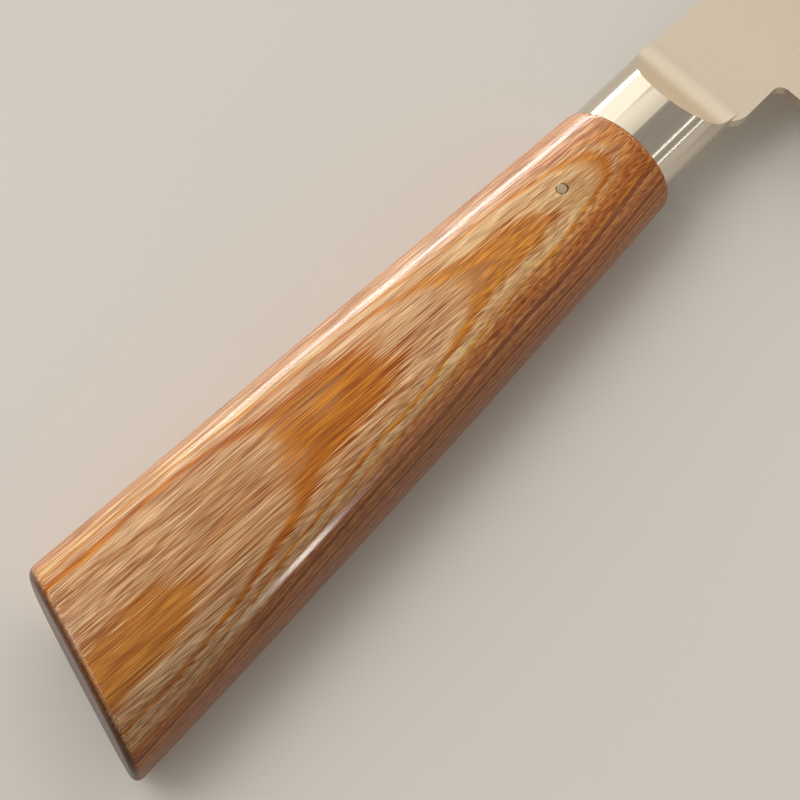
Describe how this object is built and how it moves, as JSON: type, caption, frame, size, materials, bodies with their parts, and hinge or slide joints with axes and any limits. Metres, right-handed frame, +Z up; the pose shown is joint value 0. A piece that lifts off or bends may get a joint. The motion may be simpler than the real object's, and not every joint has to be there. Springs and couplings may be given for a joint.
{
  "type": "santoku knife",
  "caption": "Santoku kitchen knife: broad blade with a round nose, bolster scooped down to the blade, and a laminated wood handle on a pinned hidden tang that widens to a slanted butt.",
  "frame": {"origin": "below the middle of the knife's box, on the surface that it lies on", "axes": "+X to the blade's tip, +Y to the spine, +Z up through the knife's side, with the blade level"},
  "size_m": [0.3068, 0.0506, 0.0208],
  "materials": {
    "blade_steel": "fine satin along the blade",
    "bolster_steel": "polished",
    "pin_steel": "ground flush",
    "adhesive": "cured resin, hidden",
    "veneer_beige": "gloss lacquer",
    "veneer_orange": "gloss lacquer",
    "veneer_tan": "gloss lacquer",
    "veneer_red_brown": "gloss lacquer"
  },
  "bodies": {
    "root": {"blade": "blade_steel", "bolster": "bolster_steel", "handle_pin": "pin_steel", "tang_adhesive": "adhesive", "handle_ply_01": "veneer_beige", "handle_ply_02": "veneer_orange", "handle_ply_03": "veneer_tan", "handle_ply_04": "veneer_red_brown", "handle_ply_05": "veneer_tan", "handle_ply_06": "veneer_red_brown", "handle_ply_07": "veneer_orange", "handle_ply_08": "veneer_tan", "handle_ply_09": "veneer_beige", "handle_ply_10": "veneer_orange", "handle_ply_11": "veneer_tan", "handle_ply_12": "veneer_red_brown", "handle_ply_13": "veneer_tan", "handle_ply_14": "veneer_red_brown", "handle_ply_15": "veneer_orange", "handle_ply_16": "veneer_tan", "handle_ply_17": "veneer_tan", "handle_ply_18": "veneer_orange", "handle_ply_19": "veneer_red_brown", "handle_ply_20": "veneer_tan", "handle_ply_21": "veneer_red_brown", "handle_ply_22": "veneer_tan", "handle_ply_23": "veneer_orange", "handle_ply_24": "veneer_beige", "handle_ply_25": "veneer_tan", "handle_ply_26": "veneer_orange", "handle_ply_27": "veneer_red_brown", "handle_ply_28": "veneer_tan", "handle_ply_29": "veneer_red_brown", "handle_ply_30": "veneer_tan", "handle_ply_31": "veneer_orange", "handle_ply_32": "veneer_beige"}
  },
  "joints": []
}
